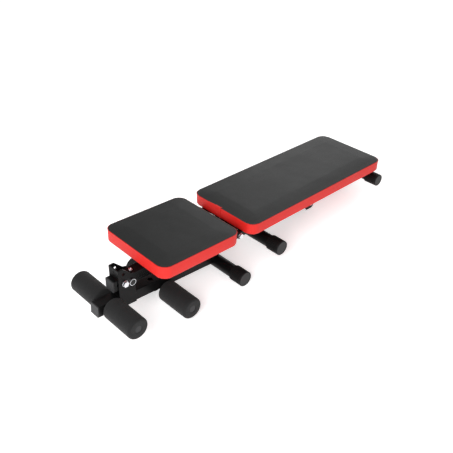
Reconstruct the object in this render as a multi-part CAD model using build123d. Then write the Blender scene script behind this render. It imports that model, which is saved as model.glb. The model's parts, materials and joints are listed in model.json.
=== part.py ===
"""Folding adjustable weight bench, in its folded state: a square main beam carries a hinged seat and backrest, and
two legs lie folded under it.

The bench frame has +X towards the head end, +Y to the right and Z up from the axis of the main beam. X is 0 at the
front edge of the backrest. The finished pieces are turned by lie_angle, so that the folded bench lies on its front
foot and its rear bracket, and moved until the origin is the middle of the base of the bounding box."""

from build123d import *
from math import asin, atan2, cos, degrees, hypot, radians, sin, sqrt
import os

# ---- cushions ----
back_length = 731
back_width = 300
back_thickness = 44
seat_length = 323.5
seat_width = 308
seat_thickness = 44.5
cushion_corner = 30
cushion_edge = 7
board_thickness = 10
board_inset = 7
cushion_gap = 58
back_rail_clearance = 1
seat_rail_clearance = 4.5
seat_angle = 1.7

# ---- square tube of the beam and both legs ----
tube_size = 40
tube_wall = 2
beam_overhang = 37
tail_inset = 18
plug_head = 4
plug_depth = 12

# ---- feet ----
foot_radius = 23.5
foot_cap_wall = 4.5
tail_radius = 20
tail_cap_wall = 4
foot_wall = 2
foot_half = 163.5
cap_end_wall = 5
cap_end_round = 3
cap_length = 55

# ---- hinge of seat and backrest ----
hinge_x = -12
hinge_tube_radius = 12.5
hinge_tube_half = 98
hinge_bolt_radius = 5
side_gap = 0.3
lug_thickness = 4
lug_radius = 13
rail_size = 20
rail_wall = 1.5
back_rail_inset = 211
back_rail_setback = 4
seat_rail_inset = 46.5
seat_rail_setback = 4
lug_reach = 70

# ---- front leg ----
pivot_reach = 50.5
pivot_radius = 6
leg_overhang = 99
leg_gap = 24.5
leg_slope = 3.3
front_foot_x = -35
front_foot_drop = 17.9
foot_weld_overlap = 5
bracket_gap = 0.5
bracket_plate = 4
bracket_ahead = 23
bracket_behind = 40
bracket_height = 36
bracket_flat = 19
bracket_shoulder_rise = 2
bracket_chamfer = (12, 3)
saddle_setback = (2, 4)
saddle_thickness = 3
web_gap = 5
web_hole_drop = 13
web_hole_radius = 2.5
spare_hole_drop = 20
spare_hole_setback = 3
spare_hole_radius = 5.5
front_lock_reach = 26.5
front_lock_drop = 6
side_hole_ahead = 24
side_hole_radius = 4
leg_hole_reach = 114
leg_hole_radius = 9
stop_bolt_reach = 40
stop_bolt_radius = 4
stop_bolt_length = 12
stop_bolt_height = 3.5
stop_head_radius = 7
stop_head_round = 2
stop_socket_radius = 3
stop_socket_depth = 2

# ---- rear leg ----
rear_pivot_inset = 268
rear_leg_gap = 26
rear_leg_length = 317
rear_leg_overhang = 21
rear_bracket_ahead = 31
rear_bracket_behind = 29
rear_bracket_lip = 9
rear_bracket_overlap = 14
rear_bracket_chamfer = (14, 20)
rear_lock_gap = 12

# ---- rollers ----
roller_radius = 37.5
roller_half = 159.5
roller_clearance = 1
roller_round = 8
rod_radius = 8
rod_wall = 1.5
front_rod_ahead = 53
rear_rod_reach = 161
sleeve_wall = 4
roller_plug_radius = 11.5
roller_plug_head = 3
roller_plug_recess = 1
roller_plug_depth = 15

# ---- struts, racks, lock pins, fasteners ----
fit = 0.05
strut_thickness = 5
strut_width = 16
strut_gap = 9
strut_rod_radius = 5
strut_pin_radius = 4
strut_pin_play = 2
strut_pin_end = 3
back_strut_reach = 200
back_strut_length = 260
seat_strut_inset = 91.5
seat_strut_length = 110
back_strut_drop = 4.5
seat_strut_rise = 7
cross_bar_height = 4
cross_bar_half = 10
front_bar_inset = 12
head_bar_inset = 30
eye_weld_overlap = 1
rack_height = 6
rack_end = 20
rack_width = 24
rack_notch = 18
rack_floor = 1
back_stops = (0, 13, 26, 39, 52)
seat_stops = (0, 8, 15)
lock_radius = 4
housing_radius = 11.75
housing_height = 6
housing_floor = 1
knob_radius = 10
knob_height = 1.4
knob_round = 0.5
tip_setback = 1
hex_ratio = 1.725
head_ratio = 1.2
nut_ratio = 1.5
nut_collar_radius_ratio = 1.3
nut_collar_ratio = 0.4
bolt_end_ratio = 2.2
washer_ratio = 1.75
washer_thickness = 1.6
screw_radius = 3
screw_head_radius = 6
screw_head_height = 2
screw_depth = 8
back_screw_setback = 90
back_screw_inset = 50
seat_screw_inset = 91.5
seat_screw_setback = 62

# ---- sizes that follow from those ----
half_beam = tube_size / 2
hinge_z = half_beam + hinge_tube_radius
back_bottom = half_beam + back_rail_clearance + rail_size
seat_bottom = half_beam + seat_rail_clearance + rail_size
seat_rear = -cushion_gap
seat_front = seat_rear - seat_length
pivot_x = seat_front - pivot_reach
beam_front = pivot_x - beam_overhang
tail_x = back_length - tail_inset
bracket_front = pivot_x - bracket_ahead
bracket_rear = pivot_x + bracket_behind
bracket_top = half_beam + bracket_height
spare_hole_z = bracket_top - spare_hole_drop
lock_x = pivot_x + front_lock_reach
lock_z = -front_lock_drop
side_hole_x = pivot_x - side_hole_ahead
stop_bolt_x = pivot_x + stop_bolt_reach
leg_front = pivot_x - leg_overhang
leg_axis_front = -half_beam - leg_gap - half_beam
leg_hole_x = pivot_x + leg_hole_reach
leg_cut = 2 * tube_size
rear_pivot_x = back_length - rear_pivot_inset
rear_axis_z = -half_beam - rear_leg_gap - half_beam
rear_foot_x = rear_pivot_x - rear_leg_length
rear_leg_end = rear_pivot_x + rear_leg_overhang
rear_leg_size = tube_size - 2 * bracket_gap
rear_bracket_front = rear_pivot_x - rear_bracket_ahead
rear_bracket_rear = rear_pivot_x + rear_bracket_behind
rear_bracket_bottom = rear_axis_z - half_beam - rear_bracket_lip
rear_lock_z = rear_axis_z + half_beam + rear_lock_gap
foot_cap_radius = foot_radius + foot_cap_wall
tail_cap_radius = tail_radius + tail_cap_wall
sleeve_radius = rod_radius + sleeve_wall
rod_bore = rod_radius - rod_wall
roller_length = roller_half - tube_size / 2 - bracket_gap - bracket_plate - roller_clearance
rod_half = roller_half - roller_plug_head - roller_plug_recess
rod_rest_z = half_beam + rack_floor + strut_rod_radius + side_gap
strut_inner = half_beam + strut_gap
seat_strut_reach = hinge_x - seat_front - seat_strut_inset
back_rail_end = back_length - back_rail_inset
seat_rail_front = seat_front + seat_rail_inset
plate_inner = half_beam + bracket_gap
plate_outer = plate_inner + bracket_plate
back_lug_inner = hinge_tube_half + side_gap
seat_lug_inner = back_lug_inner + lug_thickness + side_gap
hinge_end = seat_lug_inner + lug_thickness + side_gap
strut_outer = strut_inner + strut_thickness
strut_lug_outer = strut_outer + side_gap + lug_thickness


def block(x, y, z):
    """A box between two limits along each axis."""
    size = (x[1] - x[0], y[1] - y[0], z[1] - z[0])
    middle = ((x[0] + x[1]) / 2, (y[0] + y[1]) / 2, (z[0] + z[1]) / 2)
    return Pos(*middle) * Box(*size)


def rod(x, z, radius, y0, y1):
    """A round bar across the bench, from y0 to y1."""
    return Pos(x, (y0 + y1) / 2, z) * (Rot(90, 0, 0) * Cylinder(radius, y1 - y0))


def upright(x, y, radius, z0, z1):
    """A round bar along Z."""
    return Pos(x, y, (z0 + z1) / 2) * Cylinder(radius, z1 - z0)


def plate(points, y0, y1):
    """A flat plate across Y, with its outline given in X and Z."""
    outline = make_face(Polyline(*points, close=True))
    return extrude(Plane.XZ.offset(-y1) * outline, y1 - y0)


def hexagon(x, z, radius, y0, y1):
    """A six-sided head or nut across the bench, with its corners at the given radius."""
    face = RegularPolygon(radius, 6)
    return extrude(Plane.XZ.offset(-y1) * Pos(x, z) * face, y1 - y0)


def mirrored(shape):
    """The same shape on the other side of the bench."""
    return mirror(shape, Plane.XZ)


def both(shape):
    """A shape and its mirror image, as one node."""
    return shape + mirrored(shape)


def square_tube(x, size, wall, y=0, z=0):
    """A square tube along X."""
    half = size / 2
    outer = block(x, (y - half, y + half), (z - half, z + half))
    outer = fillet(outer.edges().filter_by(Axis.X), wall)
    inner = half - wall
    return outer - block(x, (y - inner, y + inner), (z - inner, z + inner))


def sloped(shape):
    """Turns a level piece of the front leg to the slope of that leg, about the front end of its axis."""
    about = Pos(leg_front, 0, leg_axis_front)
    return about * Rot(0, leg_slope, 0) * about.inverse() * shape


def leg_axis(x):
    """Height of the front leg's axis at x."""
    return leg_axis_front - (x - leg_front) * sin(radians(leg_slope)) / cos(radians(leg_slope))


def tube_plug(x, size, wall, towards, y=0, z=0):
    """A plastic plug in the open end of a square tube. Its head is outside the end at x."""
    half = size / 2
    inner = half - wall
    head = block(sorted((x, x + towards * plug_head)), (y - half, y + half), (z - half, z + half))
    head = fillet(head.edges().filter_by(Axis.X), wall)
    spigot = block(sorted((x, x - towards * plug_depth)), (y - inner, y + inner), (z - inner, z + inner))
    return head + spigot


# ---- feet ----
def foot_tube(x, z, radius):
    """The round cross tube of a foot."""
    end = foot_half - cap_end_wall
    return rod(x, z, radius, -end, end) - rod(x, z, radius - foot_wall, -end - 1, end + 1)


def foot_cap(x, z, radius, cap_radius):
    """The rubber cap on the left end of a foot."""
    outer = rod(x, z, cap_radius, -foot_half, -foot_half + cap_length)
    outer = fillet(outer.edges().group_by(Axis.Y)[0], cap_end_round)
    return outer - rod(x, z, radius, -foot_half + cap_end_wall, -foot_half + cap_length + 1)


# ---- fasteners ----
def cross_bolt(x, z, radius, left, right):
    """A hexagon bolt across the bench. Its head and washer are outside left, and it ends beyond right."""
    under = left - washer_thickness
    head = hexagon(x, z, radius * hex_ratio, under - radius * head_ratio, under)
    washer = rod(x, z, radius * washer_ratio, under, left)
    return head + washer + rod(x, z, radius, under, right + washer_thickness + radius * bolt_end_ratio)


def cross_nut(x, z, radius, right):
    """The lock nut and washer on the right end of a cross bolt."""
    under = right + washer_thickness
    top = under + radius * nut_ratio
    end = top + radius * nut_collar_ratio
    nut = hexagon(x, z, radius * hex_ratio, under, top) + rod(x, z, radius * nut_collar_radius_ratio, top, end)
    return rod(x, z, radius * washer_ratio, right, under) + nut - rod(x, z, radius, right - 1, end + 1)


def wood_screws(places, top, board):
    """Pan-head screws from below through the rails into a cushion's board."""
    screws = Part()
    for x, y in places:
        screws += upright(x, y, screw_head_radius, top - screw_head_height, top)
        screws += upright(x, y, screw_radius, top, board)
    return screws


# ---- cushions ----
def cushion_outline(length, width, shrink=0):
    """A rectangle from x = 0 to length with rounded corners, drawn in by shrink all round."""
    face = Pos(length / 2, 0) * Rectangle(length - 2 * shrink, width - 2 * shrink)
    return fillet(face.vertices(), cushion_corner - shrink)


def cushion(length, width, thickness):
    """The foam and cover of a cushion, standing on z = 0, with a pocket for its board in the underside."""
    body = extrude(cushion_outline(length, width), thickness)
    body = fillet(body.faces().sort_by(Axis.Z)[-1].edges(), cushion_edge)
    return body - board(length, width)


def board(length, width):
    """The plywood board in the pocket of a cushion."""
    return extrude(cushion_outline(length, width, board_inset), board_thickness)


def lug(inner, towards, level, low):
    """A hinge lug on the left: an eye round the hinge bolt and a flat that runs along the outside of a rail."""
    y0, y1 = -inner - lug_thickness, -inner
    tip = hinge_x + towards * lug_reach
    arm = block(sorted((hinge_x, tip)), (y0, y1), (low, level))
    eye = rod(hinge_x, hinge_z, lug_radius, y0, y1)
    hole = rod(hinge_x, hinge_z, hinge_bolt_radius + fit, y0 - 1, y1 + 1)
    return arm + eye - hole


def strut_eyes(x, z, top):
    """Two lugs under a rail's cross tube, outside the strut's bars, with a hole for its pivot."""
    y0, y1 = strut_outer + side_gap, strut_lug_outer
    half = strut_width / 2
    ear = block((x - half, x + half), (y0, y1), (z, top)) + rod(x, z, half, y0, y1)
    return both(ear - rod(x, z, strut_pin_radius + fit, y0 - 1, y1 + 1))


def strut(x0, z0, x1, z1):
    """A strut frame: two flat bars beside the beam, a pivot sleeve at one end and a cross rod at the other."""
    length = hypot(x1 - x0, z1 - z0)
    turn = Pos(x0, 0, z0) * Rot(0, -degrees(atan2(z1 - z0, x1 - x0)), 0)
    half = strut_width / 2
    bar = block((0, length), (strut_inner, strut_outer), (-half, half))
    bar += rod(0, 0, half, strut_inner, strut_outer) + rod(length, 0, half, strut_inner, strut_outer)
    bar -= rod(0, 0, strut_pin_radius + fit, strut_inner - 1, strut_outer + 1)
    return turn * (both(bar) + rod(length, 0, strut_rod_radius, -strut_inner, strut_inner))


def rack(places):
    """A notched bar on top of the beam that the cross rod of a strut drops into."""
    first, last = min(places), max(places)
    bar = block((first - rack_end, last + rack_end), (-rack_width / 2, rack_width / 2),
                (half_beam, half_beam + rack_height))
    low = half_beam + rack_floor
    for x in places:
        notch = block((x - rack_notch / 2, x + rack_notch / 2), (-rack_width, rack_width), (low, low + rack_height))
        bar -= notch
    return bar


def stop_place(angle, side, reach, rise, length):
    """Place along the beam of a strut's cross rod with its cushion raised by angle. Side is 1 for the backrest."""
    a = radians(angle)
    pin_x = hinge_x + side * (reach * cos(a) - rise * sin(a))
    pin_z = hinge_z + reach * sin(a) + rise * cos(a)
    return pin_x + sqrt(length**2 - (pin_z - rod_rest_z) ** 2)


# ---- frame ----
def main_beam():
    """The square tube that everything hangs on, coped to the tail foot at its head end."""
    tube = square_tube((beam_front, tail_x), tube_size, tube_wall)
    tube -= rod(tail_x, 0, tail_radius, -half_beam - 1, half_beam + 1)
    for x, z, radius in (
        (pivot_x, 0, pivot_radius + fit),
        (side_hole_x, 0, side_hole_radius),
        (lock_x, lock_z, lock_radius + fit),
    ):
        tube -= rod(x, z, radius, -half_beam - 1, half_beam + 1)
    return tube - upright(stop_bolt_x, 0, stop_bolt_radius, 0, half_beam + 1)


def stop_bolt():
    """The round-head screw in the top of the beam that the front bracket's web comes down on."""
    top = half_beam + stop_bolt_height
    head = upright(stop_bolt_x, 0, stop_head_radius, half_beam, top)
    head = fillet(head.edges().group_by(Axis.Z)[-1], stop_head_round)
    socket = Pos(stop_bolt_x, 0, top - stop_socket_depth) * extrude(RegularPolygon(stop_socket_radius, 6), 3)
    return head + upright(stop_bolt_x, 0, stop_bolt_radius, half_beam - stop_bolt_length, half_beam) - socket


def hinge_tube():
    """The cross tube on top of the beam that the seat and the backrest turn on."""
    tube = rod(hinge_x, hinge_z, hinge_tube_radius, -hinge_tube_half, hinge_tube_half)
    return tube - rod(hinge_x, hinge_z, hinge_bolt_radius, -hinge_tube_half - 1, hinge_tube_half + 1)


def bracket_side(left):
    """One side plate of the front bracket, from the open top down to the underside of the leg."""
    front_low = leg_axis(bracket_front) - half_beam
    rear_low = leg_axis(bracket_rear) - half_beam
    shoulder = half_beam + bracket_shoulder_rise
    outline = [
        (bracket_front, front_low),
        (bracket_rear, rear_low),
        (bracket_rear, shoulder),
        (bracket_rear - bracket_chamfer[0], shoulder + bracket_chamfer[1]),
        (bracket_front + bracket_flat, bracket_top),
        (bracket_front, bracket_top),
    ]
    side = plate(outline, -plate_outer, -plate_inner) if left else plate(outline, plate_inner, plate_outer)
    side -= rod(pivot_x, 0, pivot_radius + fit, -plate_outer - 1, plate_outer + 1)
    side -= rod(pivot_x - spare_hole_setback, spare_hole_z, spare_hole_radius, -plate_outer - 1, plate_outer + 1)
    if left:
        side -= rod(lock_x, lock_z, lock_radius + fit, -plate_outer - 1, 0)
    return side


def front_bracket():
    """The folded steel bracket on the front leg: two sides, a web over the beam's end and a saddle on the leg."""
    web = block((bracket_front, bracket_front + bracket_plate), (-plate_inner, plate_inner),
                (half_beam + web_gap, bracket_top))
    web -= Pos(bracket_front, 0, bracket_top - web_hole_drop) * (Rot(0, 90, 0) * Cylinder(web_hole_radius, 20))
    top = leg_axis_front + half_beam
    ends = (bracket_front + saddle_setback[0], bracket_rear - saddle_setback[1])
    saddle = sloped(block(ends, (-plate_inner, plate_inner), (top, top + saddle_thickness)))
    return bracket_side(True) + bracket_side(False) + web + saddle


def front_leg_tube():
    """The sloping square tube of the front leg, coped to its foot."""
    tube = sloped(square_tube((leg_front, front_foot_x + foot_weld_overlap), tube_size, tube_wall, z=leg_axis_front))
    tube -= rod(front_foot_x, front_foot_z, foot_radius, -leg_cut, leg_cut)
    tube -= upright(leg_hole_x, 0, leg_hole_radius, leg_axis(leg_hole_x), leg_axis(leg_hole_x) + leg_cut)
    return tube - rod(front_rod_x, front_rod_z, rod_radius, -leg_cut, leg_cut)


def roller_sleeve():
    """The short tube under the front leg that holds the rear roller rod."""
    outer = rod(rear_rod_x, rear_rod_z, sleeve_radius, -half_beam, half_beam)
    return outer - rod(rear_rod_x, rear_rod_z, rod_radius, -leg_cut, leg_cut)


def roller_rod(x, z):
    """The tube that carries a pair of foam rollers."""
    return rod(x, z, rod_radius, -rod_half, rod_half) - rod(x, z, rod_bore, -rod_half - 1, rod_half + 1)


def foam_roller(x, z):
    """The left foam roller of a pair, free to turn on its rod."""
    y0, y1 = -roller_half, -roller_half + roller_length
    foam = rod(x, z, roller_radius, y0, y1)
    foam = fillet(foam.edges().filter_by(GeomType.CIRCLE), roller_round)
    foam -= rod(x, z, rod_radius + fit, y0 - 1, y1 + 1)
    recess = roller_plug_head + roller_plug_recess + side_gap
    return foam - rod(x, z, roller_plug_radius + side_gap, y0 - 1, y0 + recess)


def roller_plugs(x, z):
    """The plastic plugs in both ends of a roller rod, which keep the rollers on."""
    head = rod(x, z, roller_plug_radius, rod_half, rod_half + roller_plug_head)
    return both(head + rod(x, z, rod_bore, rod_half - roller_plug_depth, rod_half))


def rear_bracket():
    """The channel welded under the head end of the beam that the rear leg folds into."""
    back, up = rear_bracket_chamfer
    top = rear_bracket_overlap
    outline = [
        (rear_bracket_front, top),
        (rear_bracket_front, rear_bracket_bottom + up),
        (rear_bracket_front + back, rear_bracket_bottom),
        (rear_bracket_rear - back, rear_bracket_bottom),
        (rear_bracket_rear, rear_bracket_bottom + up),
        (rear_bracket_rear, top),
    ]
    side = plate(outline, half_beam, plate_outer)
    side -= rod(rear_pivot_x, rear_axis_z, pivot_radius + fit, 0, plate_outer + 1)
    return both(side - rod(rear_pivot_x, rear_lock_z, lock_radius + fit, 0, plate_outer + 1))


def rear_leg_tube():
    """The square tube of the rear leg, level under the beam when folded."""
    tube = square_tube((rear_foot_x, rear_leg_end), rear_leg_size, tube_wall, z=rear_axis_z)
    tube -= rod(rear_foot_x, rear_axis_z, foot_radius, -leg_cut, leg_cut)
    return tube - rod(rear_pivot_x, rear_axis_z, pivot_radius + fit, -leg_cut, leg_cut)


def lock_collar(x, z, inner):
    """The round cup of a pull pin on the left side plate. The pin's knob slides inside it."""
    rim = inner + housing_height
    collar = rod(x, z, housing_radius, -rim, -inner)
    collar -= rod(x, z, knob_radius + fit, -rim - 1, -inner - housing_floor)
    return collar - rod(x, z, lock_radius + fit, -rim - 1, -inner + 1)


def lock_pin(x, z, inner, tip):
    """A pull pin and its knob, drawn out flush with the cup's rim, so that its tip is inside the side plate."""
    rim = inner + housing_height
    knob = rod(x, z, knob_radius, -rim, -rim + knob_height)
    knob = fillet(knob.edges().group_by(Axis.Y)[0], knob_round)
    return knob + rod(x, z, lock_radius, -rim + knob_height, -tip)


# ---- backrest and seat ----
def rail(x, level, inner):
    """The left rail under a cushion."""
    middle = -inner + rail_size / 2
    return square_tube(x, rail_size, rail_wall, y=middle, z=level - rail_size / 2)


def cross_tube(x, level, inner):
    """The cross tube between two rails."""
    half = inner - rail_size
    return block((x - cross_bar_half, x + cross_bar_half), (-half, half), (level - cross_bar_height, level))


def raised(shape):
    """Turns a level piece of the seat to its rest angle about the hinge."""
    about = Pos(hinge_x, 0, hinge_z)
    return about * Rot(0, seat_angle, 0) * about.inverse() * shape


front_rod_x = pivot_x - front_rod_ahead
front_rod_z = leg_axis(front_rod_x)
rear_rod_x = pivot_x + rear_rod_reach
rear_rod_z = leg_axis(rear_rod_x) - (half_beam + sleeve_radius) / cos(radians(leg_slope))
front_foot_z = leg_axis(front_foot_x) - front_foot_drop
back_pivot = (hinge_x + back_strut_reach, hinge_z - back_strut_drop)
seat_pivot = (hinge_x - seat_strut_reach, hinge_z + seat_strut_rise)
back_places = [stop_place(a, 1, back_strut_reach, -back_strut_drop, back_strut_length) for a in back_stops]
raised_cross_z = seat_bottom + (seat_strut_reach - cross_bar_height) * sin(radians(seat_angle)) - eye_weld_overlap
seat_places = [stop_place(a, -1, seat_strut_reach, seat_strut_rise, seat_strut_length) for a in seat_stops]

nodes = {}


def add(name, shape):
    """Files a piece under its node name."""
    nodes[name] = shape


add("main_beam", main_beam())
add("beam_front_plug", tube_plug(beam_front, tube_size, tube_wall, -1))
add("beam_stop_bolt", stop_bolt())
add("hinge_tube", hinge_tube())
add("hinge_bolt", cross_bolt(hinge_x, hinge_z, hinge_bolt_radius, -hinge_end, hinge_end))
add("hinge_nut", cross_nut(hinge_x, hinge_z, hinge_bolt_radius, hinge_end))
add("tail_foot_tube", foot_tube(tail_x, 0, tail_radius))
add("back_rack", rack(back_places))
add("seat_rack", rack(seat_places))
add("front_pivot_bolt", cross_bolt(pivot_x, 0, pivot_radius, -plate_outer - side_gap, plate_outer + side_gap))
add("front_pivot_nut", cross_nut(pivot_x, 0, pivot_radius, plate_outer + side_gap))
add("rear_bracket", rear_bracket())
add("rear_pivot_bolt", cross_bolt(rear_pivot_x, rear_axis_z, pivot_radius, -plate_outer, plate_outer))
add("rear_pivot_nut", cross_nut(rear_pivot_x, rear_axis_z, pivot_radius, plate_outer))
add("front_bracket", front_bracket())
add("front_leg_tube", front_leg_tube())
add("front_leg_plug", sloped(tube_plug(leg_front, tube_size, tube_wall, -1, z=leg_axis_front)))
add("front_foot_tube", foot_tube(front_foot_x, front_foot_z, foot_radius))
add("roller_sleeve", roller_sleeve())
add("rear_leg_tube", rear_leg_tube())
add("rear_leg_plug", tube_plug(rear_leg_end, rear_leg_size, tube_wall, 1, z=rear_axis_z))
add("rear_foot_tube", foot_tube(rear_foot_x, rear_axis_z, foot_radius))

feet = {
    "front": (front_foot_x, front_foot_z, foot_radius, foot_cap_radius),
    "rear": (rear_foot_x, rear_axis_z, foot_radius, foot_cap_radius),
    "tail": (tail_x, 0, tail_radius, tail_cap_radius),
}
for place, values in feet.items():
    cap = foot_cap(*values)
    add(place + "_foot_cap_left", cap)
    add(place + "_foot_cap_right", mirrored(cap))

for place, x, z in (("front", front_rod_x, front_rod_z), ("rear", rear_rod_x, rear_rod_z)):
    add(place + "_roller_rod", roller_rod(x, z))
    add(place + "_roller_plugs", roller_plugs(x, z))
    roller = foam_roller(x, z)
    add(place + "_roller_left", roller)
    add(place + "_roller_right", mirrored(roller))

add("front_lock_collar", lock_collar(lock_x, lock_z, plate_outer))
add("front_lock_pin", lock_pin(lock_x, lock_z, plate_outer, plate_inner + tip_setback))
add("rear_lock_collar", lock_collar(rear_pivot_x, rear_lock_z, plate_outer))
add("rear_lock_pin", lock_pin(rear_pivot_x, rear_lock_z, plate_outer, half_beam + tip_setback))

back_screw_last = back_rail_end - back_screw_inset
back_screw_xs = (back_screw_setback, (back_screw_setback + back_screw_last) / 2, back_screw_last)
back_screw_places = [(x, side * (back_lug_inner - rail_size / 2)) for x in back_screw_xs for side in (-1, 1)]
back_screws = wood_screws(back_screw_places, back_bottom - rail_size, back_bottom + screw_depth)
back_place = Pos(0, 0, back_bottom)
add("backrest_pad", back_place * cushion(back_length, back_width, back_thickness))
add("backrest_board", back_place * board(back_length, back_width) - back_screws)
back_rail = rail((back_rail_setback, back_rail_end), back_bottom, back_lug_inner)
back_rail += lug(back_lug_inner, 1, back_bottom, back_bottom - rail_size)
back_rail -= back_screws
add("backrest_rail_left", back_rail)
add("backrest_rail_right", mirrored(back_rail))
back_cross = cross_tube(back_pivot[0], back_bottom, back_lug_inner)
add("backrest_cross_bar", back_cross + strut_eyes(*back_pivot, back_bottom - eye_weld_overlap))
add("backrest_front_bar", cross_tube(front_bar_inset, back_bottom, back_lug_inner))
add("backrest_head_bar", cross_tube(back_rail_end - head_bar_inset, back_bottom, back_lug_inner))
add("backrest_screws", back_screws)
add("back_strut", strut(*back_pivot, back_places[0], rod_rest_z))
add("back_strut_pins", both(rod(*back_pivot, strut_pin_radius, strut_inner - strut_pin_play, strut_lug_outer + strut_pin_end)))

seat_screw_xs = (seat_front + seat_screw_inset, seat_rear - seat_screw_setback)
seat_screw_places = [(x, side * (seat_lug_inner - rail_size / 2)) for x in seat_screw_xs for side in (-1, 1)]
seat_screws = wood_screws(seat_screw_places, seat_bottom - rail_size, seat_bottom + screw_depth)
seat_place = Pos(seat_front, 0, seat_bottom)
add("seat_pad", raised(seat_place * cushion(seat_length, seat_width, seat_thickness)))
add("seat_board", raised(seat_place * board(seat_length, seat_width) - seat_screws))
seat_rail = rail((seat_rail_front, seat_rear - seat_rail_setback), seat_bottom, seat_lug_inner)
seat_rail += lug(seat_lug_inner, -1, seat_bottom, seat_bottom - rail_size)
seat_rail -= seat_screws
add("seat_rail_left", raised(seat_rail))
add("seat_rail_right", raised(mirrored(seat_rail)))
seat_cross = cross_tube(seat_pivot[0], seat_bottom, seat_lug_inner)
add("seat_cross_bar", raised(seat_cross) + strut_eyes(*seat_pivot, raised_cross_z))
add("seat_screws", raised(seat_screws))
add("seat_strut", strut(*seat_pivot, seat_places[0], rod_rest_z))
add("seat_strut_pins", both(rod(*seat_pivot, strut_pin_radius, strut_inner - strut_pin_play, strut_lug_outer + strut_pin_end)))

# ---- laying the folded bench down: on the front foot's caps and the lower rear corner of the rear bracket ----
corner_x = rear_bracket_rear - rear_bracket_chamfer[0]
run = corner_x - front_foot_x
rise = rear_bracket_bottom - front_foot_z
lie_angle = degrees(atan2(rise, run) + asin(foot_cap_radius / hypot(run, rise)))
turned = {name: Rot(0, lie_angle, 0) * shape for name, shape in nodes.items()}
boxes = [shape.bounding_box() for shape in turned.values()]
middle_x = (min(b.min.X for b in boxes) + max(b.max.X for b in boxes)) / 2
floor_z = min(b.min.Z for b in boxes)
lie = Pos(-middle_x, 0, -floor_z) * Rot(0, lie_angle, 0)

os.makedirs("parts", exist_ok=True)
for name, shape in nodes.items():
    export_step(lie * shape, "parts/" + name + ".step")
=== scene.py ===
# %% [markdown]
# # A folding weight bench
# The bench lies folded: a square beam carries a seat and a backrest, and two legs with foam rollers and
# rubber feet are tucked under it. The CAD frame already holds every tube and bolt at its real size, so
# this lesson keeps those, gives them paint and zinc, and makes new meshes for what CAD leaves plain:
# cushions, foam rollers and rubber feet.

# %% Load the frame
import json
import math
from math import radians

import bmesh
import bpy
from mathutils import Matrix, Vector, noise


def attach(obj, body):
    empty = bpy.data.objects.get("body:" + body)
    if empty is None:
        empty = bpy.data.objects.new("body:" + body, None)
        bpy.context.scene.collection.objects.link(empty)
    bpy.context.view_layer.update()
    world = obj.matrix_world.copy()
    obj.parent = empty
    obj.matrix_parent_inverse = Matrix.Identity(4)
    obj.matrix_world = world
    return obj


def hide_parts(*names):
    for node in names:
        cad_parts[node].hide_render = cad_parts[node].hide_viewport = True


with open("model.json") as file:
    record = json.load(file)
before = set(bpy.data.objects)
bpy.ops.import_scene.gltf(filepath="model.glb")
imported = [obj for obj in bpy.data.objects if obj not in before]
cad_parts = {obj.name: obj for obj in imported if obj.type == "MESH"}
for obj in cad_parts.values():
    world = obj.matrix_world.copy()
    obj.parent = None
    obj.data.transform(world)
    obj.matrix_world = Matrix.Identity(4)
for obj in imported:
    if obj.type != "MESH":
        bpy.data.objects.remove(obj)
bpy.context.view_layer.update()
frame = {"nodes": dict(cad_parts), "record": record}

nodes = frame["nodes"]
MM = 0.001

# %% [markdown]
# ## Working level
# The folded bench rests on its front foot and its rear bracket, so it lies at a slant. It is far easier
# to model level and tilt the mesh at the end. The record's two rest faces, the tops of the cushions,
# give both slants, so a matrix made from each is a level bench to work on.

# %% Level places
def rest_place(name):
    """The matrix from a level cushion, with its origin in the middle of its top, to where it lies."""
    face = next(m for m in frame["record"]["mounts"] if m["name"] == name)
    tilt = math.atan2(face["axis"][0], face["axis"][2])
    return Matrix.Translation(face["pos_m"]) @ Matrix.Rotation(tilt, 4, "Y")


bench = rest_place("backrest_top")
seat = rest_place("seat_top")


def level_box(node, place=bench):
    """The lowest and highest corner of a CAD node on the level bench."""
    back = place.inverted()
    points = [back @ v.co for v in nodes[node].data.vertices]
    low = Vector([min(p[k] for p in points) for k in range(3)])
    high = Vector([max(p[k] for p in points) for k in range(3)])
    return low, high


print("bench lies at", round(math.degrees(bench.to_euler().y), 2), "degrees")

# %% [markdown]
# ## The camera
# The camera stands in front of the left front corner, a little over a metre above the cushions, with a
# moderately long lens. It is set first, relative to the level bench, so that every later choice can be
# judged in its view.

# %% Camera
def add_camera(place, heading, drop, roll, lens):
    """A camera at a place on the level bench, looking from a heading and a drop in degrees."""
    a, e = radians(heading), radians(drop)
    back = Vector((math.sin(a) * math.cos(e), -math.cos(a) * math.cos(e), math.sin(e)))
    aim = (-back).to_track_quat("-Z", "Y").to_matrix().to_4x4()
    data = bpy.data.cameras.new("camera")
    data.lens = lens
    data.sensor_width = 36
    data.clip_end = 50
    camera = bpy.data.objects.new("camera", data)
    bpy.context.scene.collection.objects.link(camera)
    camera.matrix_world = bench @ Matrix.Translation(place) @ aim @ Matrix.Rotation(radians(roll), 4, "Z")
    return camera


back_low, back_high = level_box("backrest_pad")
head_half = back_high.x
camera = add_camera((-1.2931 - head_half, -1.3515, 1.1694), -44.31, 33.62, 1.557, 50.77)
bpy.context.scene.camera = camera
print("camera at", [round(v, 3) for v in camera.matrix_world.translation])

# %% [markdown]
# ## Floor and light
# A plain pale floor, a white surround for soft reflections and three large lights: a key light from the
# front left, so that the red bands that face it come out brighter than those on the long side, a weak
# one from above, and one from beyond the head end that gives the black tops their sheen.

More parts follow.
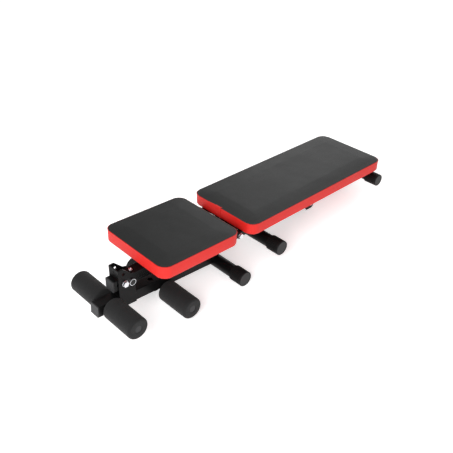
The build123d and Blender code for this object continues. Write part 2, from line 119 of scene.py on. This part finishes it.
# %% Floor and light
def add_floor(size):
    """A pale floor under the bench."""
    mesh = bpy.data.meshes.new("floor")
    bm = bmesh.new()
    bmesh.ops.create_grid(bm, x_segments=1, y_segments=1, size=size)
    bm.to_mesh(mesh)
    bm.free()
    floor = bpy.data.objects.new("floor", mesh)
    bpy.context.scene.collection.objects.link(floor)
    paint = bpy.data.materials.new("pale_floor")
    paint.use_nodes = True
    shader = paint.node_tree.nodes["Principled BSDF"]
    shader.inputs["Base Color"].default_value = (0.9, 0.9, 0.9, 1)
    shader.inputs["Roughness"].default_value = 0.9
    shader.inputs["Emission Color"].default_value = (1, 1, 1, 1)
    shader.inputs["Emission Strength"].default_value = 0.5
    mesh.materials.append(paint)


def add_area(name, spot, size, power):
    """A square area light that looks at the middle of the bench."""
    data = bpy.data.lights.new(name, "AREA")
    data.size = size
    data.energy = power
    light = bpy.data.objects.new(name, data)
    bpy.context.scene.collection.objects.link(light)
    light.location = spot
    light.rotation_euler = (Vector((0, 0, 0.1)) - Vector(spot)).to_track_quat("-Z", "Y").to_euler()


add_floor(8)
add_area("key_light", (-2.6, -1.3, 2.0), 2.4, 110)
add_area("top_light", (0.2, -0.2, 3.6), 4.5, 20)
add_area("far_light", (2.9, 1.9, 1.5), 1.8, 30)
world = bpy.data.worlds.new("studio")
bpy.context.scene.world = world
world.use_nodes = True
world.node_tree.nodes["Background"].inputs["Color"].default_value = (1, 1, 1, 1)
world.node_tree.nodes["Background"].inputs["Strength"].default_value = 0.42
bpy.context.scene.view_settings.view_transform = "Standard"

# %% [markdown]
# ## Shader helpers
# Every finish here is one Principled shader. What varies over a surface, such as grain, ripples and dust,
# comes from node groups and noise textures that put out a height or a mask, so that each finish can use
# them with its own size and strength.

# %% Shader helpers
def new_group(name, inputs, outputs):
    """An empty shader node group with named value inputs and outputs."""
    group = bpy.data.node_groups.new(name, "ShaderNodeTree")
    group.interface.new_socket("Vector", in_out="INPUT", socket_type="NodeSocketVector")
    for label, value in inputs.items():
        socket = group.interface.new_socket(label, in_out="INPUT", socket_type="NodeSocketFloat")
        socket.default_value = value
    for label in outputs:
        group.interface.new_socket(label, in_out="OUTPUT", socket_type="NodeSocketFloat")
    return group, group.nodes.new("NodeGroupInput"), group.nodes.new("NodeGroupOutput")


def value_noise(tree, vector, scale, detail=3.0, roughness=0.5, kind="ShaderNodeTexNoise"):
    """A noise or Voronoi texture on a vector, with its scale in cycles per metre."""
    texture = tree.nodes.new(kind)
    if kind == "ShaderNodeTexNoise":
        texture.inputs["Detail"].default_value = detail
        texture.inputs["Roughness"].default_value = roughness
    tree.links.new(vector, texture.inputs["Vector"])
    if isinstance(scale, (int, float)):
        texture.inputs["Scale"].default_value = scale
    else:
        tree.links.new(scale, texture.inputs["Scale"])
    return texture


def spread(tree, value, low, high, to_low=0.0, to_high=1.0):
    """Maps a value from one range to another, clamped."""
    node = tree.nodes.new("ShaderNodeMapRange")
    tree.links.new(value, node.inputs["Value"])
    for label, number in (("From Min", low), ("From Max", high), ("To Min", to_low), ("To Max", to_high)):
        node.inputs[label].default_value = number
    return node.outputs["Result"]


def combine(tree, operation, a, b):
    """A Math node on two values, each a socket or a number."""
    node = tree.nodes.new("ShaderNodeMath")
    node.operation = operation
    for socket, value in zip(node.inputs, (a, b)):
        if isinstance(value, (int, float)):
            socket.default_value = value
        else:
            tree.links.new(value, socket)
    return node.outputs[0]


# %% [markdown]
# Three effects serve several of the finishes. **Grain** is the pebbled skin of embossed vinyl: small
# rounded cells with finer creases between them. **Orange peel** is the soft waviness of powder coat.
# **Dust** is a patchy haze that lightens a dark surface a little and makes it rougher.

# %% Node groups
def grain_group():
    """Leather-like cells: a rounded height, and a mask of the creases between the cells."""
    group, given, out = new_group("vinyl_grain", {"Cells": 900.0}, ("Height", "Crease"))
    cells = value_noise(group, given.outputs["Vector"], given.outputs["Cells"], kind="ShaderNodeTexVoronoi")
    cells.feature = "SMOOTH_F1"
    cells.inputs["Smoothness"].default_value = 0.35
    fine_cells = combine(group, "MULTIPLY", given.outputs["Cells"], 2.3)
    fine = value_noise(group, given.outputs["Vector"], fine_cells, 2.0)
    height = combine(group, "SUBTRACT", 1.0, cells.outputs["Distance"])
    height = combine(group, "ADD", height, combine(group, "MULTIPLY", fine.outputs["Fac"], 0.35))
    group.links.new(height, out.inputs["Height"])
    group.links.new(spread(group, cells.outputs["Distance"], 0.35, 0.75), out.inputs["Crease"])
    return group


def peel_group():
    """The soft ripples of powder coat."""
    group, given, out = new_group("orange_peel", {"Ripples": 450.0}, ("Height", "Patch"))
    ripple = value_noise(group, given.outputs["Vector"], given.outputs["Ripples"], 1.5)
    patch = value_noise(group, given.outputs["Vector"], 9.0, 4.0)
    group.links.new(ripple.outputs["Fac"], out.inputs["Height"])
    group.links.new(spread(group, patch.outputs["Fac"], 0.35, 0.7), out.inputs["Patch"])
    return group


def dust_group():
    """A thin patchy haze with a few finer specks in it."""
    group, given, out = new_group("dust", {"Amount": 0.3}, ("Mask",))
    cloud = value_noise(group, given.outputs["Vector"], 14.0, 6.0, 0.62)
    speck = value_noise(group, given.outputs["Vector"], 380.0, 2.0, 0.7)
    haze = combine(group, "MULTIPLY", spread(group, cloud.outputs["Fac"], 0.42, 0.75),
                   spread(group, speck.outputs["Fac"], 0.3, 0.8))
    group.links.new(combine(group, "MULTIPLY", haze, given.outputs["Amount"]), out.inputs["Mask"])
    return group


grain, peel, dust = grain_group(), peel_group(), dust_group()
print("node groups:", grain.name, peel.name, dust.name)

# %% [markdown]
# A finish is then a short recipe: two close colours mixed by a mask, a roughness that the same mask
# moves, and a height for the bump. The numbers that are the same all over go on the shader's own
# sockets.

# %% Finish recipe
def finish(name, dark, light, rough, bump, build, **plain):
    """A Principled material. build(tree, vector) gives (mask, height); rough is its range over the mask."""
    material = bpy.data.materials.new(name)
    material.use_nodes = True
    tree = material.node_tree
    shader = tree.nodes["Principled BSDF"]
    place = tree.nodes.new("ShaderNodeTexCoord").outputs["Object"]
    mask, height = build(tree, place)
    mix = tree.nodes.new("ShaderNodeMix")
    mix.data_type = "RGBA"
    tree.links.new(mask, mix.inputs["Factor"])
    mix.inputs["A"].default_value = (*dark, 1)
    mix.inputs["B"].default_value = (*light, 1)
    tree.links.new(mix.outputs["Result"], shader.inputs["Base Color"])
    tree.links.new(spread(tree, mask, 0, 1, *rough), shader.inputs["Roughness"])
    node = tree.nodes.new("ShaderNodeBump")
    node.inputs["Strength"].default_value = 1.0
    node.inputs["Distance"].default_value = bump
    tree.links.new(height, node.inputs["Height"])
    tree.links.new(node.outputs["Normal"], shader.inputs["Normal"])
    for label, number in plain.items():
        shader.inputs[label.replace("_", " ")].default_value = number
    return material


def place_group(tree, group, vector, **values):
    """Puts a node group in a material and returns its outputs."""
    node = tree.nodes.new("ShaderNodeGroup")
    node.node_tree = group
    tree.links.new(vector, node.inputs["Vector"])
    for label, number in values.items():
        node.inputs[label].default_value = number
    return node.outputs


# %% [markdown]
# ### The two vinyls
# Both covers are the same embossed vinyl, one charcoal and one red. The creases get painted shade,
# a touch darker than the tops of the cells, and a broad faint cloud keeps a large panel from looking
# printed.

# %% Vinyl
def vinyl(cells):
    """Mask and height of embossed vinyl."""
    def build(tree, vector):
        skin = place_group(tree, grain, vector, Cells=cells)
        cloud = value_noise(tree, vector, 6.0, 4.0).outputs["Fac"]
        # Painted shade: the creases between the cells are made darker, as if shade fell into them.
        crease_shade = combine(tree, "MULTIPLY", skin["Crease"], -0.45)
        mask = combine(tree, "ADD", crease_shade, spread(tree, cloud, 0.3, 0.7, 0.4, 1))
        return combine(tree, "MAXIMUM", mask, 0.0), skin["Height"]
    return build


black_vinyl = finish("black_vinyl", (0.010, 0.0104, 0.0104), (0.017, 0.0174, 0.0174), (0.5, 0.58),
                     0.00014, vinyl(820), Specular_IOR_Level=0.22)
red_vinyl = finish("red_vinyl", (0.56, 0.014, 0.010), (0.68, 0.021, 0.016), (0.46, 0.54),
                   0.00012, vinyl(820), Specular_IOR_Level=0.24)
print("vinyls:", black_vinyl.name, red_vinyl.name)

# %% [markdown]
# ### Paint, zinc, rubber, foam and plastic
# The frame is black powder coat, the fasteners are bright zinc, the feet are moulded rubber, the rollers
# closed-cell foam with fine pores, and the plugs a dark grey plastic with a spark-eroded texture.

# %% Hard finishes
def powder(tree, vector):
    """Mask and height of powder coat with a little dust on it."""
    skin = place_group(tree, peel, vector, Ripples=520.0)
    haze = place_group(tree, dust, vector, Amount=0.35)
    mask = combine(tree, "ADD", combine(tree, "MULTIPLY", skin["Patch"], 0.5), haze["Mask"])
    return mask, skin["Height"]


def plating(tree, vector):
    """Mask and height of zinc plate: fine turned lines and cloudy patches."""
    streak = value_noise(tree, vector, 900.0, 2.0).outputs["Fac"]
    patch = value_noise(tree, vector, 160.0, 3.0).outputs["Fac"]
    return spread(tree, patch, 0.3, 0.7), streak


def moulded(pits, amount):
    """Mask and height of a moulded skin with fine pits and dust."""
    def build(tree, vector):
        pit = value_noise(tree, vector, pits, 3.0, 0.6).outputs["Fac"]
        haze = place_group(tree, dust, vector, Amount=amount)
        return combine(tree, "ADD", haze["Mask"], spread(tree, pit, 0.4, 0.7, 0, 0.4)), pit
    return build


def porous(tree, vector):
    """Mask and height of closed-cell foam: small dents where the cells are cut."""
    cells = value_noise(tree, vector, 1400.0, kind="ShaderNodeTexVoronoi").outputs["Distance"]
    soft = value_noise(tree, vector, 60.0, 4.0).outputs["Fac"]
    height = combine(tree, "ADD", cells, combine(tree, "MULTIPLY", soft, 1.2))
    return spread(tree, soft, 0.3, 0.7), height


def layered(tree, vector):
    """Mask and height of plywood's face grain."""
    wave = tree.nodes.new("ShaderNodeTexWave")
    wave.inputs["Scale"].default_value = 14.0
    wave.inputs["Distortion"].default_value = 7.0
    wave.inputs["Detail"].default_value = 3.0
    wave.bands_direction = "Y"
    tree.links.new(vector, wave.inputs["Vector"])
    return wave.outputs["Fac"], wave.outputs["Fac"]


black_paint = finish("black_powder_coat", (0.0028, 0.0028, 0.003), (0.0062, 0.0062, 0.0064), (0.32, 0.48),
                     0.00006, powder, Specular_IOR_Level=0.13)
zinc = finish("bright_zinc", (0.62, 0.63, 0.66), (0.8, 0.81, 0.84), (0.2, 0.34),
              0.00002, plating, Metallic=1.0)
rubber = finish("foot_rubber", (0.0034, 0.0034, 0.0034), (0.010, 0.010, 0.010), (0.5, 0.68),
                0.00005, moulded(700.0, 0.4), Specular_IOR_Level=0.15)
# Painted light: the flat end of each foot cap is the same rubber, given a lighter colour because it faces
# the light.
cap_lit_face = finish("foot_cap_face", (0.012, 0.012, 0.0122), (0.022, 0.022, 0.0222), (0.5, 0.65),
                  0.00005, moulded(700.0, 0.4), Specular_IOR_Level=0.3)
foam = finish("roller_foam", (0.0055, 0.0055, 0.0058), (0.009, 0.009, 0.0094), (0.72, 0.85),
              0.00022, porous, Specular_IOR_Level=0.25, Sheen_Weight=0.05, Sheen_Roughness=0.6)
grey_plastic = finish("grey_plastic", (0.021, 0.021, 0.0225), (0.032, 0.032, 0.034), (0.5, 0.62),
                      0.00005, moulded(900.0, 0.3), Specular_IOR_Level=0.3)
black_plastic = finish("black_plastic", (0.008, 0.008, 0.0083), (0.014, 0.014, 0.0145), (0.4, 0.5),
                       0.00004, moulded(900.0, 0.3), Specular_IOR_Level=0.3)
plywood = finish("plywood", (0.36, 0.22, 0.11), (0.55, 0.38, 0.21), (0.6, 0.75), 0.0001, layered)
print("finishes:", len(bpy.data.materials))

# %% [markdown]
# ## Painting the CAD frame
# Tubes, brackets, rails and racks are right as they are. A CAD mesh has knife edges, so each gets a Weld
# and a small Bevel modifier, which catch the light along every edge as rounded steel does. Their
# vertices are never touched.

# %% Painting the CAD frame
def soften(node, width, segments=2):
    """Rounds the edges of a CAD node by modifiers."""
    piece = nodes[node]
    piece.data.shade_smooth()
    weld = piece.modifiers.new("weld", "WELD")
    weld.merge_threshold = 0.00002
    bevel = piece.modifiers.new("edge", "BEVEL")
    bevel.width = width
    bevel.segments = segments
    bevel.limit_method = "ANGLE"
    bevel.angle_limit = radians(32)
    level = piece.modifiers.new("level", "WEIGHTED_NORMAL")
    level.keep_sharp = True


def paint(node, material):
    """Gives a CAD node one material."""
    data = nodes[node].data
    data.materials.clear()
    data.materials.append(material)
    for face in data.polygons:
        face.material_index = 0


finishes = {"black_steel": black_paint, "zinc": zinc, "foot_rubber": rubber, "foam": foam,
            "plastic": grey_plastic, "plywood": plywood, "vinyl": black_vinyl}
for part in frame["record"]["subparts"]:
    paint(part["node"], finishes[part["material_slot"]])
    if part["material_slot"] in ("black_steel", "plastic"):
        soften(part["node"], 0.5 * MM)
for node in ("front_lock_pin", "rear_lock_pin"):
    paint(node, black_plastic)
print("painted", len(nodes), "CAD nodes")

# %% [markdown]
# ## Making a new piece
# Each new piece is built level in a bmesh, tilted to where it lies and given its body, so its object
# stays at the origin as the CAD nodes do. Edges sharper than 35 degrees stay crisp and the rest are
# smooth.

# %% Making a new piece
def make_piece(name, bm, place, body, materials, stands_for=()):
    """Turns a bmesh of the level bench into a finished piece that rides on a body."""
    bmesh.ops.transform(bm, matrix=place, verts=bm.verts)
    for face in bm.faces:
        face.smooth = True
    for edge in bm.edges:
        edge.smooth = edge.calc_face_angle(0) < radians(35)
    mesh = bpy.data.meshes.new(name)
    bm.to_mesh(mesh)
    bm.free()
    for material in materials:
        mesh.materials.append(material)
    piece = bpy.data.objects.new(name, mesh)
    bpy.context.scene.collection.objects.link(piece)
    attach(piece, body)
    if stands_for:
        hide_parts(*stands_for)
    return piece


def spun(profile, steps, roundings=()):
    """A solid of revolution about Y from (radius, y) corners; roundings are (corner, radius, segments)."""
    bm = bmesh.new()
    corners = [bm.verts.new((0, y, r)) for r, y in profile]
    edges = [bm.edges.new(pair) for pair in zip(corners, corners[1:])]
    for index, radius, segments in sorted(roundings, reverse=True):
        bmesh.ops.bevel(bm, geom=[corners[index]], offset=radius, offset_type="OFFSET", segments=segments,
                        profile=0.5, affect="VERTICES", material=-1)
    bmesh.ops.spin(bm, geom=list(bm.verts) + list(bm.edges), cent=(0, 0, 0), axis=(0, 1, 0),
                   angle=2 * math.pi, steps=steps, use_merge=True)
    bmesh.ops.remove_doubles(bm, verts=bm.verts, dist=1e-6)
    bmesh.ops.recalc_face_normals(bm, faces=bm.faces)
    return bm


def middle(node):
    """Centre of a CAD node on the level bench, with Y at its left end, and the node's size."""
    low, high = level_box(node)
    return Vector(((low.x + high.x) / 2, low.y, (low.z + high.z) / 2)), high - low


# %% [markdown]
# ## Foam rollers
# A roller is a tube of foam on a steel rod, with well-rounded shoulders and a shallow recess in its
# outer face where the end plug sits. Spinning one outline about the rod gives it in a single step. The
# bore stays open, so that it really can turn on its rod.

# %% Foam rollers
def foam_roller(node, outward):
    """A foam tube whose outer end faces outward, -1 for the left and 1 for the right."""
    spot, size = middle(node)
    centre_y = spot.y + size.y / 2
    radius, half = size.x / 2, size.y / 2
    bore, recess = 8.3 * MM, 11.9 * MM
    recess_y = half - 4.2 * MM
    outline = [(bore, -half), (radius, -half), (radius, half), (recess, half), (recess, recess_y),
               (bore, recess_y), (bore, -half)]
    bm = spun(outline, 72, [(1, 7 * MM, 8), (2, 8 * MM, 10), (3, 1.2 * MM, 3)])
    if outward < 0:
        bmesh.ops.rotate(bm, verts=bm.verts, cent=(0, 0, 0), matrix=Matrix.Rotation(math.pi, 3, "Z"))
    bmesh.ops.translate(bm, verts=bm.verts, vec=(spot.x, centre_y, spot.z))
    piece = make_piece(node + "_foam", bm, bench, node, [foam], [node])
    return piece


rollers = [foam_roller(end + "_roller_" + side, outward)
           for end in ("front", "rear") for side, outward in (("left", -1), ("right", 1))]
print("rollers:", [r.name for r in rollers])

# %% [markdown]
# ## Ribbed rubber feet
# The cap on each foot is a moulded cup with fine ribs along its barrel for grip and a plain rim round
# the flat end. The ribs are every other pair of the barrel's faces, pulled out a little.

# %% Ribbed rubber feet
TUBE_RADIUS = {"tail": 20 * MM, "front": 23.5 * MM, "rear": 23.5 * MM}
RIB_HEIGHT = 0.85 * MM
RIB_START = 3 * MM


def ribbed_cap(node, body, outward, ribs):
    """A rubber cup over the end of a foot tube."""
    spot, size = middle(node)
    radius, length = size.x / 2, size.y
    tube = TUBE_RADIUS[node.split("_")[0]] + 0.02 * MM
    low = radius - 0.9 * MM
    inner_y = length - 5 * MM
    rim_y = length - 9 * MM
    face_y = length - 0.5 * MM
    outline = [(tube, inner_y), (tube, 0), (low, 0), (low, RIB_START), (low, rim_y), (radius, rim_y),
               (radius, length), (radius - 5 * MM, length), (radius - 5.5 * MM, face_y)]
    bm = spun(outline, ribs * 4, [(6, 2.2 * MM, 4), (2, 1.2 * MM, 3)])

    def on_barrel(face):
        centre = face.calc_center_median()
        outside = centre.xz.length > low - 0.3 * MM
        return abs(face.normal.y) < 0.2 and RIB_START < centre.y < rim_y and outside

    def on_rib(face):
        turn = math.atan2(*face.calc_center_median().xz) / (2 * math.pi)
        return int(turn * ribs * 4 + ribs * 4) % 4 < 2

    raised = [f for f in bm.faces if on_barrel(f) and on_rib(f)]
    out = bmesh.ops.extrude_face_region(bm, geom=raised)
    for v in [g for g in out["geom"] if isinstance(g, bmesh.types.BMVert)]:
        v.co += Vector((v.co.x, 0, v.co.z)).normalized() * RIB_HEIGHT
    bmesh.ops.delete(bm, geom=raised, context="FACES_ONLY")
    for y in (inner_y, face_y):
        rim = [e for e in bm.edges if e.is_boundary and abs(e.verts[0].co.y - y) < 0.01 * MM]
        bmesh.ops.edgeloop_fill(bm, edges=rim)
    bmesh.ops.recalc_face_normals(bm, faces=bm.faces)
    # The flat end takes the lighter copy of the rubber, a painted highlight.
    for face in bm.faces:
        centre = face.calc_center_median()
        if centre.y > length - 0.6 * MM and centre.xz.length < radius - 3 * MM:
            face.material_index = 1
    if outward < 0:
        turned = Matrix.Rotation(math.pi, 3, "Z")
        bmesh.ops.rotate(bm, verts=bm.verts, cent=(0, length / 2, 0), matrix=turned)
    bmesh.ops.translate(bm, verts=bm.verts, vec=spot)
    return make_piece(node + "_ribbed", bm, bench, body, [rubber, cap_lit_face], [node])


for end, body, ribs in (("front", "front_leg", 30), ("rear", "rear_leg", 30), ("tail", "frame", 26)):
    for side, outward in (("left", -1), ("right", 1)):
        ribbed_cap(end + "_foot_cap_" + side, body, outward, ribs)
print("feet capped")

# %% [markdown]
# ## The cushions
# A cushion is a plywood board with foam on it, wrapped in vinyl: a black top panel sewn to a red band
# that goes all round and is pulled in under the board. A block with rounded corners is made first. Cloth
# simulation then blows it up a little inside its cover, with the underside held by the board, which
# gives the soft crown of the top, the swell of the band and the shoulders at the corners. The seam is
# cut in afterwards, because remeshing would wash it away.

# %% Cushion block
def cushion_block(low, high, corner_radius, top_round, tuck):
    """A block with rounded corners, a rounded top edge and a tucked lower edge."""
    bm = bmesh.new()
    bmesh.ops.create_cube(bm, size=1)
    size = high - low
    bmesh.ops.scale(bm, verts=bm.verts, vec=size)
    bmesh.ops.translate(bm, verts=bm.verts, vec=(low + high) / 2)
    corners = [e for e in bm.edges if abs(e.verts[0].co.z - e.verts[1].co.z) > size.z / 2]
    bmesh.ops.bevel(bm, geom=corners, offset=corner_radius, offset_type="OFFSET", segments=12,
                    profile=0.5, affect="EDGES", material=-1)
    for z, radius in ((high.z, top_round), (low.z, tuck)):
        rim = [e for e in bm.edges if all(abs(v.co.z - z) < 1e-5 for v in e.verts)]
        bmesh.ops.bevel(bm, geom=rim, offset=radius, offset_type="OFFSET", segments=4,
                        profile=0.5, affect="EDGES", material=-1)
    bmesh.ops.recalc_face_normals(bm, faces=bm.faces)
    return bm


# %% [markdown]
# The simulation works on a copy in a new object. Pressure pushes every face outwards, gravity is off,
# and the pinned underside stands for the board. The seam holds the walls at its own height. How far a
# point may go is capped softly, so that the cushion never grows into its neighbours.

# %% Swelling a cover
def is_wall(mesh, index):
    """Whether a vertex is on the side of a cushion, not on its top."""
    return abs(mesh.vertices[index].normal.z) < 0.75


def swell(bm, pinned_below, seam_z, side_cap, top_cap, voxel, frames=20):
    """Remeshes a closed bmesh and blows it up as cloth, held at its underside and seam."""
    mesh = bpy.data.meshes.new("cover_sim")
    bm.to_mesh(mesh)
    bm.free()
    body = bpy.data.objects.new("cover_sim", mesh)
    bpy.context.scene.collection.objects.link(body)
    remesh = body.modifiers.new("voxels", "REMESH")
    remesh.mode = "VOXEL"
    remesh.voxel_size = voxel
    dg = bpy.context.evaluated_depsgraph_get()
    even = bpy.data.meshes.new_from_object(body.evaluated_get(dg))
    body.modifiers.clear()
    body.data = even
    start = [v.co.copy() for v in even.vertices]
    held = body.vertex_groups.new(name="held")
    for index, co in enumerate(start):
        weight = 0.0
        if co.z < pinned_below:
            weight = 1.0
        elif is_wall(even, index):
            weight = max(0.0, 1 - abs(co.z - seam_z) / (1.5 * voxel))
        held.add([index], weight, "REPLACE")
    cloth = body.modifiers.new("cloth", "CLOTH")
    cloth.settings.vertex_group_mass = "held"
    cloth.settings.use_pressure = True
    cloth.settings.uniform_pressure_force = 4
    cloth.settings.quality = 6
    cloth.settings.tension_stiffness = 22
    cloth.settings.compression_stiffness = 22
    cloth.settings.bending_stiffness = 3
    cloth.settings.effector_weights.gravity = 0
    for step in range(1, frames + 1):
        bpy.context.scene.frame_set(step)
    dg = bpy.context.evaluated_depsgraph_get()
    swollen = body.evaluated_get(dg).to_mesh()
    moves = [v.co - start[v.index] for v in swollen.vertices]
    body.evaluated_get(dg).to_mesh_clear()
    body.modifiers.clear()
    print("largest move", round(max(m.length for m in moves) * 1000, 1), "mm before the cap")
    for v in even.vertices:
        move = moves[v.index]
        flat = Vector((move.x, move.y, 0))
        reach = max(flat.length, 1e-9)
        flat = flat / reach * side_cap * math.tanh(reach / side_cap)
        v.co = start[v.index] + Vector((flat.x, flat.y, top_cap * math.tanh(move.z / top_cap)))
    bpy.context.scene.frame_set(1)
    finished = bmesh.new()
    finished.from_mesh(body.data)
    bpy.data.objects.remove(body)
    return finished


# %% [markdown]
# After the simulation the seam is drawn round the cushion. Level cuts give it clean edges. The band
# stands a little proud just below the seam, the black panel is set in just above it, and everything
# below it is red. Small puckers, made by gentle sine waves of different lengths, break up the edge as
# sewing does. On the front of the backrest the end of the band laps over its beginning, with a fold
# beside it.

# %% Sewing the seam
LAP_HEIGHT = 1.1 * MM
FOLD_DEPTH = 1.6 * MM


def on_lap(spot, lap):
    """Whether a point of a cover is on the far part of its front band, where the band's end laps over."""
    at_front = spot.x < -head_half + 0.06
    on_band = abs(spot.z + 0.02) < 0.024
    return spot.y > lap and at_front and on_band


def lap_fade(spot, lap):
    """How much of the lap is left at a point: all of it at its end, none of it 0.1 m along the band."""
    return max(0.0, 1 - (spot.y - lap) / 0.1)


def cut(bm, spot, normal):
    """Cuts every face of a bmesh that a plane crosses."""
    everything = list(bm.verts) + list(bm.edges) + list(bm.faces)
    bmesh.ops.bisect_plane(bm, geom=everything, plane_co=spot, plane_no=normal, dist=1e-6)


def sew(bm, seam_z, lap=None):
    """Cuts the seam round a cushion, sets the black panel in and makes the band the second material."""
    # Height over the seam and how far the cover stands out there, both in millimetres.
    steps = {-5: 0.2, -1.8: 0.9, -0.9: 1.0, 0: -1.1, 0.6: -1.4, 1.7: -0.8, 3.4: 0.0}
    for rise in steps:
        cut(bm, (0, 0, seam_z + rise * MM), (0, 0, 1))
    if lap is not None:
        for y in (lap - 1.6 * MM, lap - 0.7 * MM, lap, lap + 6 * MM):
            cut(bm, (0, y, 0), (0, 1, 0))
    bm.normal_update()
    heights = sorted(steps)
    moved = {}
    for v in bm.verts:
        rise = (v.co.z - seam_z) / MM
        flat = Vector((v.normal.x, v.normal.y, 0))
        if heights[0] < rise < heights[-1] and flat.length > 0.35:
            above = next(h for h in heights if h >= rise)
            below = heights[heights.index(above) - 1]
            share = (rise - below) / (above - below)
            run = v.co.x + v.co.y * 0.7
            pucker = 1 + 0.16 * math.sin(run * 410) + 0.14 * math.sin(run * 173 + 1)
            reach = steps[below] * (1 - share) + steps[above] * share
            moved[v] = flat.normalized() * reach * pucker * MM
    for v, move in moved.items():
        v.co += move
    if lap is not None:
        for v in bm.verts:
            if on_lap(v.co, lap - 0.1 * MM) and v.co.z < seam_z + 1.2 * MM:
                v.co.x -= LAP_HEIGHT * lap_fade(v.co, lap)
            elif on_lap(v.co, lap - 0.8 * MM) and v.co.z < seam_z - 6 * MM:
                v.co.x += FOLD_DEPTH
    for face in bm.faces:
        spot = face.calc_center_median()
        top = seam_z
        if lap is not None and on_lap(spot, lap):
            top += LAP_HEIGHT * lap_fade(spot, lap)
        face.material_index = 1 if spot.z < top else 0
    return bm


def crown(bm, low, high, seam_z, radius, ramp):
    """Eases the top down to the seam over a ramp, most at the corners, with soft waves in the foam."""
    middle = (low + high) / 2
    half = (high - low) / 2
    for v in bm.verts:
        if v.co.z > seam_z:
            dx = abs(v.co.x - middle.x) - (half.x - radius)
            dy = abs(v.co.y - middle.y) - (half.y - radius)
            corner = Vector((max(dx, 0), max(dy, 0))).length
            inside = radius - corner - min(max(dx, dy), 0)
            share = min(max(inside, 0) / ramp, 1)
            wave = noise.noise(v.co * 14) * 0.5 + noise.noise(v.co * 33) * 0.22
            v.co.z = seam_z + (v.co.z - seam_z) * (0.1 + 0.9 * share ** 0.7) + wave * share * MM


# %% [markdown]
# The block starts half a millimetre larger all round than the CAD cushion and a little higher, because
# smoothing and the crown take some of it away again. The backrest's seam sits a little lower than the
# seat's.

# %% Both cushions
COVER_CORNER = 34 * MM
TOP_ROUND = 2 * MM
TUCK = 2.5 * MM
GROW = 0.5 * MM
LIFT = 1.8 * MM
BOARD_HOLD = 6 * MM
SIDE_CAP = 1.2 * MM
TOP_CAP = 3.2 * MM
CROWN_RAMP = 60 * MM


def cushion(node, place, body, seam_drop, voxel, lap=None):
    """A finished cushion in place of its CAD block."""
    low, high = level_box(node, place)
    seam_z = high.z - seam_drop
    grow = Vector((GROW, GROW, 0))
    lift = Vector((0, 0, LIFT))
    bm = cushion_block(low - grow, high + grow + lift, COVER_CORNER, TOP_ROUND, TUCK)
    bm = swell(bm, low.z + BOARD_HOLD, seam_z, SIDE_CAP, TOP_CAP, voxel)
    bmesh.ops.subdivide_edges(bm, edges=bm.edges, cuts=1, use_grid_fill=True, smooth=0.5)
    bmesh.ops.smooth_vert(bm, verts=bm.verts, factor=0.5, use_axis_x=True, use_axis_y=True, use_axis_z=True)
    crown(bm, low - grow, high + grow, seam_z, CROWN_RAMP, CROWN_RAMP)
    bm = sew(bm, seam_z, lap)
    piece = make_piece(node + "_cover", bm, place, body, [black_vinyl, red_vinyl], [node])
    for face in piece.data.polygons:
        face.use_smooth = True
    print(piece.name, len(piece.data.polygons), "faces")
    return piece


backrest_cover = cushion("backrest_pad", bench, "backrest", 1.8 * MM, 5 * MM, 0.005)
seat_cover = cushion("seat_pad", seat, "seat", 0.4 * MM, 4 * MM)
